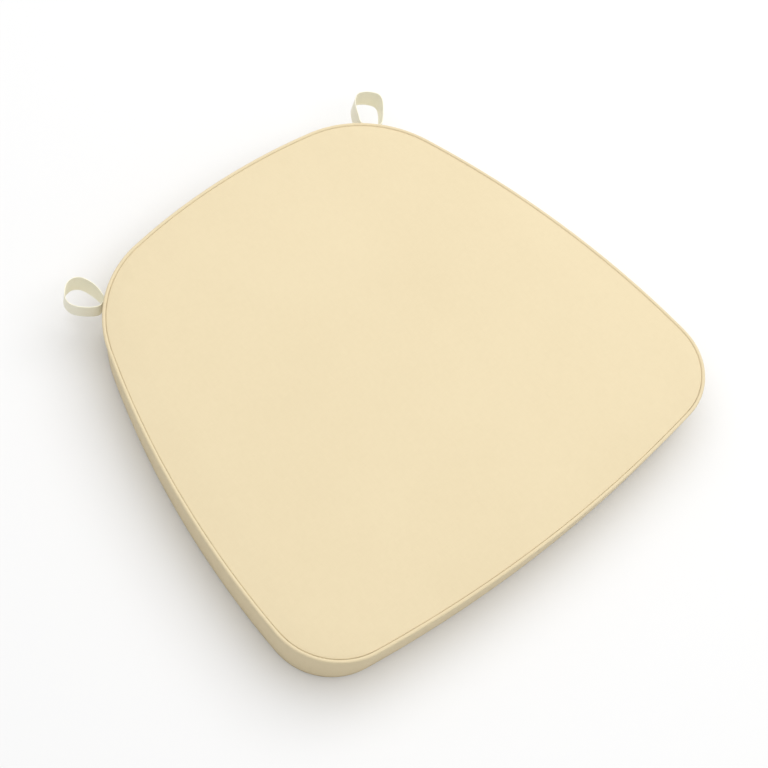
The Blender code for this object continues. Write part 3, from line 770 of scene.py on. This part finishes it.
def buildWelt():  # one open section round the cord, whose two flanges run down and inward beside each other
    count = int(seamLength / welt["pitch"])
    s = np.linspace(0, seamLength, count, endpoint=False)
    lean = clothLay["flangeLean"]
    along = np.array([np.cos(lean), np.sin(lean)])
    across = np.array([-along[1], along[0]])
    opening = np.arcsin(welt["halfFlange"] / level["weltRadius"])
    theta = np.linspace(lean + opening, lean + tau - opening, welt["sides"])
    flange = np.array(welt["flange"])
    first = flange[:, None] * along + welt["halfFlange"] * across
    last = flange[::-1, None] * along - welt["halfFlange"] * across
    # radius swells between the seam's stitches, slantwise because the strip is cut on the bias
    slant = tau * (s[None] / welt["stitch"] + (theta[:, None] - lean) / tau * welt["biasTurn"])
    radius = (level["weltRadius"] - welt["slack"]
              + welt["wrinkle"] * (np.cos(slant) - welt["wrinkleMiddle"])
              + seamWaves(s, 0.004, 0.02)[None] * welt["wander"])
    # the strip's ends overlap in one thicker place, with a groove where the upper one is folded
    joined = s[None] - backMiddle - welt["joinAt"] + (theta[:, None] - np.pi / 2) * welt["joinSlant"]
    joined = joined / welt["joinLength"]
    radius = (radius + welt["joinRise"] * easeIn(1 - np.abs(joined))
              - welt["joinDip"] * np.exp(-(joined * welt["joinSharp"]) ** 2))
    offset = np.concatenate([np.repeat(first[:, :1], count, 1), radius * np.cos(theta)[:, None],
                             np.repeat(last[:, :1], count, 1)])
    height = np.concatenate([np.repeat(first[:, 1:], count, 1), radius * np.sin(theta)[:, None],
                             np.repeat(last[:, 1:], count, 1)]) + level["weltZ"]
    girth = runAlong(np.stack([offset[:, 0], height[:, 0]], -1))
    maps = gridMap(np.append(s, seamLength)[None], girth[:, None])
    points = swept(offset, height, s)
    quads = gridQuads(len(offset), count, wrap=True)
    piece = newPiece("welt_cover_cloth", points, quads, maps)
    # the section winds round the cord, so a face's way out is told from the cord's own middle
    place, _ = alongSeam(s)
    fromCord = (points - np.c_[place, np.full(count, level["weltZ"])]).reshape(-1, 3)
    faces = np.empty(len(quads) * 4, np.int32)
    piece.data.loops.foreach_get("vertex_index", faces)
    tube = faces.reshape(-1, 4)[len(first) * count:(len(first) + len(theta)) * count]
    if (quadNormals(points.reshape(-1, 3), tube) * fromCord[tube[:, 0]]).sum() < 0:
        piece.data.flip_normals()
    thicken(piece, welt["cloth"])
    settle(piece, "pad", "cover_cloth", weltCloth, "welt_cover")


# three twisted strands: the radius dips between them, as |cos(1.5 (angle - turn))| to a power
def buildWeltCord():
    count = int(seamLength / welt["cordPitch"])
    s = np.linspace(0, seamLength, count, endpoint=False)
    theta = np.linspace(0, tau, welt["cordSides"], endpoint=False)
    lays = round(seamLength / welt["strandLay"] / 3) * 3
    phase = theta[:, None] - tau * s[None] * lays / seamLength
    radius = level["cordRadius"] * (1 - welt["strandDip"] * (1 - np.abs(np.cos(1.5 * phase)) ** 0.7))
    points = swept(radius * np.cos(theta)[:, None], level["weltZ"] + radius * np.sin(theta)[:, None], s)
    around = np.append(theta, tau)
    i = np.arange(count)
    k, last = (i + 1) % count, (len(theta) - 1) * count
    closing = np.stack([last + i, last + k, k, i], -1)  # from the last side back to the first
    quads = np.concatenate([gridQuads(len(theta), count, wrap=True), closing])
    maps = gridMap(np.append(s, seamLength)[None], around[:, None])
    piece = newPiece("welt_filler_cord", points, quads, maps)
    pointOutFromVolume(piece)
    settle(piece, "pad", "welt_cord", cordFinish, "welt_cord")


def pointOutFromVolume(piece):  # a closed mesh whose volume comes out below nothing is inside out
    shape = bmesh.new()
    shape.from_mesh(piece.data)
    inside = shape.calc_volume(signed=True) < 0
    shape.free()
    if inside:
        piece.data.flip_normals()


buildWelt()
buildWeltCord()
print("welt made")


# the filling
filling = dict(foamEdge=0.0017, foamClear=0.05 * mm, foamInward=(0.010, 0.0045, 0.0016, 0.0004),
               foamFoot=((0.0, 0.0014), (0.0001, 0.0005), (0.0006, 0.00008), (0.0018, 0.0), (0.006, 0.0),
                         (0.012, 0.0)),  # inward and up
               # rows in millimetres out from the seam line: along the top, round the edge and back below
               waddingRows=(-12.8, -10.5, -8.6, -7.2, -6.2, -5.85, -6.0, -6.6, -7.8, -10.0, -12.8),
               waddingGap=0.0003, waddingDrop=0.0010, edgeUp=(0.0008, -0.0002), edgeLow=(0.0007, 0.00025),
               lump=0.22 * mm, lumpFrom=0.003)


def buildFoam():  # a slab with small rounds at its edges, and its top edge cut on a slant under the flange
    edgeSum = level["weltZ"] - (welt["flange"][0] + 0.0003) * np.sqrt(2)  # offset plus height on the slant
    top = level["foamTop"] - filling["foamClear"]
    depth = filling["foamEdge"]
    sideZ = (edgeSum + padOutline["baseInset"] + depth) / (1 + padOutline["baseInset"] / level["wallTop"])
    low = level["wallBottom"] + filling["foamClear"]
    offsets = [edgeSum - top - inward for inward in filling["foamInward"]]
    offsets += [edgeSum - top + 0.0003, edgeSum - sideZ - 0.0010, wallAt(sideZ) - depth - 0.00008,
                wallAt(sideZ) - depth]
    heights = [top, top, top, top - 0.00008, top - 0.0006, sideZ + 0.0008, sideZ - 0.0001, sideZ - 0.0012]
    for z in np.linspace(sideZ - 0.006, low + 0.004, 5):
        offsets.append(wallAt(z) - depth)
        heights.append(z)
    for inset, up in filling["foamFoot"]:
        offsets.append(wallAt(low) - depth - inset)
        heights.append(low + up)
    rings = panelRings(np.array(offsets, float), np.array(heights, float))
    points, quads = closedLayer(rings, lambda xy: np.full(len(xy), top), low)
    piece = newPiece("foam_slab", points, quads, centre=(0, 0, 0.018))
    pointOutFromVolume(piece)
    subdivide(piece)
    settle(piece, "pad", "foam", foamFinish, "foam_core")


def buildWadding():  # a soft layer, thick in the middle and closed to a round edge under the rolled panel
    base = level["foamTop"] + filling["waddingGap"]
    offsets = np.array(filling["waddingRows"]) * mm
    rings = panelRings(offsets, np.full(len(offsets), base))
    share = np.clip(1 - (panelGrid["seamOffset"] - offsets) / panelGrid["rollWidth"], 0, 1)
    cover = rollZ(share) - filling["waddingDrop"]
    upper = 5  # rows of the top side
    crown = crownAt(rings[..., :2]) * (1 - share[:, None]) ** 2
    rings[:upper, :, 2] = cover[:upper, None] + crown[:upper]
    edge = (cover[upper - 1] + base) / 2
    rings[4:6, :, 2] = edge + np.array(filling["edgeUp"])[:, None]
    rings[6:8, :, 2] = base + np.array(filling["edgeLow"])[:, None]
    points, quads = closedLayer(rings, lambda xy: topZ(xy) - filling["waddingDrop"], base)
    x, y = points[:, 0], points[:, 1]
    lumps = np.sin(x * 91 + 3 * np.sin(y * 57)) * np.sin(y * 83) - 1
    points[:, 2] += filling["lump"] * lumps * (points[:, 2] > base + filling["lumpFrom"])
    piece = newPiece("top_wadding_layer", points, quads, centre=(0, 0, base + 0.002))
    pointOutFromVolume(piece)
    subdivide(piece)
    settle(piece, "pad", "wadding", waddingFinish, "top_wadding")


buildFoam()
buildWadding()
print("filling made")


# the zip
zipParts = dict(tapeDepth=0.00095, tapeThickness=0.45 * mm, pitch=0.0012, wire=0.21 * mm,
                tapeRows=(0, 0.02, 0.1, 0.22, 0.34, 0.46, 0.58, 0.7, 0.82, 0.93, 0.98, 1.0), tapeColumns=90,
                tapeGap=0.15 * mm, tapeClear=0.02 * mm, tapeEnd=0.2 * mm, coilMiddle=0.00106,
                coilHalf=0.00128, coilOut=0.00040, coilProud=0.04 * mm, coilLead=0.0002, coilClear=0.0006,
                stopLength=0.0027, toothSteps=12)
sixSides = np.linspace(0, tau, 6, endpoint=False)


def sixSidedQuads(rows):  # a closed rod: its sides, and two quads over each end
    cap = np.array([[0, 1, 2, 3], [0, 3, 4, 5]])
    return np.concatenate([gridQuads(rows, 6, wrap=True), cap, (cap + (rows - 1) * 6)[:, ::-1]])


def buildTape(name, side, node):  # a flat strip behind the wall's line, above (+1) or below (-1) the coil
    near = level["zipZ"] + side * zipParts["tapeGap"]
    far = (level["tapeTop"] if side > 0 else level["tapeBottom"]) - side * zipParts["tapeClear"]
    z = near + (far - near) * np.array(zipParts["tapeRows"])
    s = np.linspace(zipStart + zipParts["tapeEnd"], zipEnd - zipParts["tapeEnd"], zipParts["tapeColumns"])
    points = swept(wallAt(z) - zipParts["tapeDepth"], z, s)
    piece = newPiece(name, points, gridQuads(len(z), len(s)), gridMap(s[None], z[:, None]))
    subdivide(thicken(piece, zipParts["tapeThickness"]))
    settle(piece, "pad", "zip_tape", tapeCloth, node)


def buildCoil(name, side, node):  # one thread wound in flattened turns; the two rows are half a turn apart
    inward = zipParts["stopLength"] + zipParts["coilClear"]
    turns = int((zipEnd - zipStart - 2 * inward) / zipParts["pitch"]) - 1
    phase = np.arange(turns * zipParts["toothSteps"] + 1) * tau / zipParts["toothSteps"]
    halfTurn = 0.5 if side < 0 else 0.0
    s = zipStart + inward + zipParts["coilLead"] + (phase / tau + halfTurn) * zipParts["pitch"]
    z = level["zipZ"] + side * (zipParts["coilMiddle"] - zipParts["coilHalf"] * np.cos(phase))
    out = wallAt(z) + zipParts["coilOut"] * np.sin(phase) + zipParts["coilProud"]
    place, outward = alongSeam(s)
    path = np.concatenate([place + out[:, None] * outward, z[:, None]], -1)
    seamWay = np.c_[-outward[:, 1], outward[:, 0], np.zeros(len(s))]
    tangent = unit(np.gradient(path, axis=0))
    one = unit(np.cross(tangent, seamWay))
    two = np.cross(tangent, one)
    ring = np.cos(sixSides)[None, :, None] * one[:, None] + np.sin(sixSides)[None, :, None] * two[:, None]
    points = path[:, None] + zipParts["wire"] * ring
    piece = newPiece(name, points, sixSidedQuads(len(s)))
    pointOutFromVolume(piece)
    settle(piece, "pad", "zip_coil", coilFinish, node)


def roundedCopy(name, node, width, body):  # the frame's own solid with its edges eased
    shape = bmesh.new()
    shape.from_mesh(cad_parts[node].data)
    bmesh.ops.remove_doubles(shape, verts=shape.verts, dist=1e-6)
    bmesh.ops.dissolve_limit(shape, angle_limit=np.radians(1), verts=shape.verts, edges=shape.edges)
    bmesh.ops.recalc_face_normals(shape, faces=shape.faces)
    mesh = bpy.data.meshes.new(name)
    shape.to_mesh(mesh)
    shape.free()
    mesh.shade_smooth()
    mesh.set_sharp_from_angle(angle=np.radians(50))
    piece = placed(name, mesh)
    edge = piece.modifiers.new("easedEdges", "BEVEL")
    edge.width, edge.segments, edge.use_clamp_overlap = width, 3, True
    edge.limit_method, edge.angle_limit = "ANGLE", np.radians(30)
    settle(piece, body, "zip_metal", metalFinish, node)


def buildZip():
    buildTape("upper_tape_weave", 1, "upper_zip_tape")
    buildTape("lower_tape_weave", -1, "lower_zip_tape")
    buildCoil("upper_coil_teeth", 1, "upper_zip_coil")
    buildCoil("lower_coil_teeth", -1, "lower_zip_coil")
    roundedCopy("left_stop_crimp", "left_zip_stop", 0.35 * mm, "pad")
    roundedCopy("right_stop_crimp", "right_zip_stop", 0.35 * mm, "pad")
    roundedCopy("slider_casting", "zip_slider", 0.22 * mm, "slider")
    roundedCopy("pull_tab_plate", "zip_pull_tab", 0.18 * mm, "pull")


stitchCut = dict(length=0.0026, pitch=0.0032, radius=0.19 * mm, fromFold=0.0022, fromEnd=0.004,
                 lift=0.05 * mm, dip=0.16 * mm,
                 rings=(-1, -0.93, -0.6, 0, 0.6, 0.93, 1),  # shares of half a stitch, from its middle
                 girth=(0.12, 0.62, 0.95, 1, 0.95, 0.62, 0.12))


def buildStitches(name, s, z):  # capsules along the seam, whose ends dip into the cloth as a cube
    t = np.array(stitchCut["rings"], float)
    radius = stitchCut["radius"] * np.array(stitchCut["girth"])[None, :, None]
    along = s[:, None, None] + (t * stitchCut["length"] / 2)[None, :, None] + 0 * sixSides
    high = z + 0 * s[:, None, None] + radius * np.sin(sixSides)
    lift = stitchCut["lift"] - stitchCut["dip"] * np.abs(t[None, :, None]) ** 3
    out = wallAt(high) + lift + radius * np.cos(sixSides)
    place, outward = alongSeam(along.ravel())
    points = np.c_[place + out.reshape(-1, 1) * outward, high.ravel()]
    quads = (sixSidedQuads(len(t))[None] + np.arange(len(s))[:, None, None] * len(t) * 6).reshape(-1, 4)
    piece = newPiece(name, points, quads)
    pointOutFromVolume(piece)
    settle(piece, "pad", "cover_cloth", threadFinish)


def buildTopstitching():
    s = np.arange(zipStart + stitchCut["fromEnd"], zipEnd - stitchCut["fromEnd"], stitchCut["pitch"])
    buildStitches("upper_topstitching", s, level["windowTop"] + stitchCut["fromFold"])
    buildStitches("lower_topstitching", s, level["windowBottom"] - stitchCut["fromFold"])


buildZip()
buildTopstitching()
print("zip made")


# the ribbon loops
# each line is places across and out from the seam, in millimetres, from one sewn end round to the other
ribbonLoops = dict(
    thickness=0.75 * mm, samples=260, ribDepth=0.10, smoothing=10,
    sewnIn=0.0004, free=0.0125, tiltSpan=0.006, tiltRise=0.012, nodRise=0.03,
    # a flat strip with round, slightly thicker selvedges: places up it, and its share of the thickness
    stripUp=(-1, -0.985, -0.95, -0.9, -0.75, -0.4, 0, 0.4, 0.75, 0.9, 0.95, 0.985, 1),
    stripThick=(0.35, 0.75, 1, 0.98, 0.9, 0.9, 0.9, 0.9, 0.9, 0.98, 1, 0.75, 0.35),
    right=dict(tilt=(0.8 * mm, 0.8 * mm), nod=1.0 * mm,
               line=[(0.48, -1.6), (0.5, 0.2), (2.4, 1.9), (6.6, 2.6), (8.8, 5.5), (9.1, 11), (9.3, 18),
                     (8.9, 25.4), (6.6, 30.6), (1.2, 32.6), (-5.8, 32.4), (-11.0, 29.8), (-12.7, 24),
                     (-12.0, 17), (-10.2, 10.5), (-8.4, 5.2), (-5.6, 2.5), (-2.2, 1.8), (-0.5, 0.2),
                     (-0.48, -1.6)]),
    left=dict(tilt=(-0.5 * mm, 1.0 * mm), nod=0.0,
              line=[(0.48, -1.6), (0.5, 0.2), (2.2, 1.8), (6.2, 5.4), (10.2, 11), (12.9, 17), (13.7, 22.5),
                    (11.6, 27.6), (6.8, 30.7), (1.0, 31.1), (-4.2, 29.6), (-8.0, 26.2), (-9.6, 21.6),
                    (-9.6, 16.5), (-8.7, 11), (-7.3, 6.2), (-5.0, 2.8), (-2.0, 1.7), (-0.5, 0.2),
                    (-0.48, -1.6)]))


def curveThrough(points, count):  # on each span, the cubic whose end slopes are half its neighbours' chord
    ends = np.concatenate([[2 * points[0] - points[1]], points, [2 * points[-1] - points[-2]]])
    t = np.linspace(0, len(points) - 1, count)
    i = np.minimum(t.astype(int), len(points) - 2)
    t = (t - i)[:, None]
    a, b, c, d = (ends[i + k] for k in range(4))
    return (b + t / 2 * (c - a) + t ** 2 * (a - 2.5 * b + 2 * c - 0.5 * d)
            + t ** 3 * (1.5 * (b - c) + 0.5 * (d - a)))


def loopLine(shape):  # the curve through the places, evenly spaced and then smoothed
    line = curveThrough(np.array(shape["line"]) * mm, 1200)
    run = runAlong(line)
    even = np.linspace(0, run[-1], ribbonLoops["samples"])
    line = np.stack([np.interp(even, run, line[:, 0]), np.interp(even, run, line[:, 1])], -1)
    for _ in range(ribbonLoops["smoothing"]):
        line[1:-1] = line[1:-1] * 0.5 + (line[:-2] + line[2:]) * 0.25
    return line, even


# the strip's section carried along the line, thicker and thinner by cos(2 pi length / pitch) at its ribs
def buildLoop(name, at, shape, node):
    line, run = loopLine(shape)
    place, out = (a[0] for a in alongSeam(np.array([at])))
    sideways = np.array([out[1], -out[0]])
    tangent = unit(np.gradient(line, axis=0))
    normal = np.stack([-tangent[:, 1], tangent[:, 0]], -1)
    low, high = level["loopLow"] + 0.0001, level["loopHigh"] - 0.0001
    middle, half = (low + high) / 2, (high - low) / 2
    v, thick = np.array(ribbonLoops["stripUp"]), np.array(ribbonLoops["stripThick"])
    v = np.concatenate([v, v[::-1]])
    side = np.concatenate([thick, -thick[::-1]]) * ribbonLoops["thickness"] / 2
    rib = 1 + ribbonLoops["ribDepth"] * np.cos(tau * run / ribbonFinish["ribPitch"])
    flat = line[:, None] + normal[:, None] * (side[None] * rib[:, None])[..., None]
    # the top edge of each leg stands over to one side, and that of the bend stands out
    across, outward = line[:, :1], line[:, 1:]
    span = (-ribbonLoops["tiltSpan"], ribbonLoops["tiltSpan"])
    leaning = np.interp(across, span, shape["tilt"]) * v * easeIn(outward / ribbonLoops["tiltRise"])
    nodding = shape["nod"] * v * easeIn(outward / ribbonLoops["nodRise"])
    xy = (place + (flat[..., :1] + leaning[..., None]) * sideways
          + (flat[..., 1:] + nodding[..., None]) * out)
    z = np.repeat((middle + half * v)[None], len(line), 0)
    points = np.concatenate([xy, z[..., None]], -1)
    quads = gridQuads(len(line), len(v), wrap=True)
    i = np.arange(len(v) // 2 - 1)
    cap = np.stack([i, i + 1, len(v) - i - 2, len(v) - i - 1], -1)
    quads = np.concatenate([quads, cap[:, ::-1], cap + (len(line) - 1) * len(v)])
    vRun = np.append((half * v), half * v[0])
    maps = np.concatenate([gridMap(run[:, None], vRun[None]), np.zeros((2 * len(cap), 4, 2))])
    piece = newPiece(name, points, quads, maps)
    pointOutFromVolume(piece)
    piece.data.materials.append(ribbonCloth)
    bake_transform(piece)
    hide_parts(node)


buildLoop("right_ribbon_loop", rightLoopAt, ribbonLoops["right"], "right_loop")
buildLoop("left_ribbon_loop", leftLoopAt, ribbonLoops["left"], "left_loop")
print("loops made")


# floor, light and camera
studio = dict(floorSize=30.0, floorDrop=0.0006, floorTone=0.79, world=0.58, softbox=54.5,
              softboxPlace=(0.45, 0.1, 2.0), softboxSize=4.0,
              key=5.0, keyPlace=(2.2, 0.3, 1.6), keySize=1.2)


def buildFloor():  # one pale square under the pad
    half = studio["floorSize"] / 2
    corners = np.array([[-half, -half, 0], [half, -half, 0], [half, half, 0], [-half, half, 0]], float)
    corners[:, 2] = -studio["floorDrop"]
    mesh = bpy.data.meshes.new("studio_floor")
    mesh.from_pydata(corners.tolist(), [], [[0, 1, 2, 3]])
    floor = placed("studio_floor", mesh)
    bench = Bench("pale_floor", Roughness=0.95, Specular_IOR_Level=0.0)
    bench.shader.inputs["Base Color"].default_value = (*[studio["floorTone"]] * 3, 1)
    mesh.materials.append(bench.material)


def areaLight(name, place, size, power, colour=(1, 1, 1)):
    data = bpy.data.lights.new(name, "AREA")
    data.shape, data.size, data.energy, data.color = "DISK", size, power, colour
    lamp = placed(name, data)
    lamp.location = place
    lamp.rotation_euler = (Vector((0, 0, 0.02)) - Vector(place)).to_track_quat("-Z", "Y").to_euler()


def buildStudio():
    buildFloor()
    areaLight("overhead_softbox", studio["softboxPlace"], studio["softboxSize"], studio["softbox"])
    areaLight("side_light", studio["keyPlace"], studio["keySize"], studio["key"], (1.0, 0.99, 0.97))
    world = bpy.data.worlds.new("soft_room")
    world.use_nodes = True
    world.node_tree.nodes["Background"].inputs["Color"].default_value = (1, 1, 1, 1)
    world.node_tree.nodes["Background"].inputs["Strength"].default_value = studio["world"]
    scene.world = world
    scene.view_settings.view_transform = "Standard"


viewpoint = dict(azimuth=-56.333, elevation=60.35, roll=17.187, distance=1.8952, lens=117.19,
                 target=(0.006828, -0.006636, 0.0))


# azimuth and elevation turn round the target, and roll turns about the line of sight, in degrees
def placeCamera():
    a, e, r = (np.radians(viewpoint[k]) for k in ("azimuth", "elevation", "roll"))
    back = Vector((np.sin(a) * np.cos(e), -np.cos(a) * np.cos(e), np.sin(e)))
    right = Vector((np.cos(a), np.sin(a), 0))
    up = back.cross(right)
    across, upward = right * np.cos(r) + up * np.sin(r), up * np.cos(r) - right * np.sin(r)
    data = bpy.data.cameras.new("camera")
    data.lens, data.sensor_width, data.clip_start, data.clip_end = viewpoint["lens"], 36.0, 0.05, 40.0
    camera = scene.camera = placed("camera", data)
    turned = Matrix((across, upward, back)).transposed().to_4x4()
    place = Vector(viewpoint["target"]) + back * viewpoint["distance"]
    camera.matrix_world = Matrix.Translation(place) @ turned


buildStudio()
placeCamera()
bpy.context.view_layer.update()
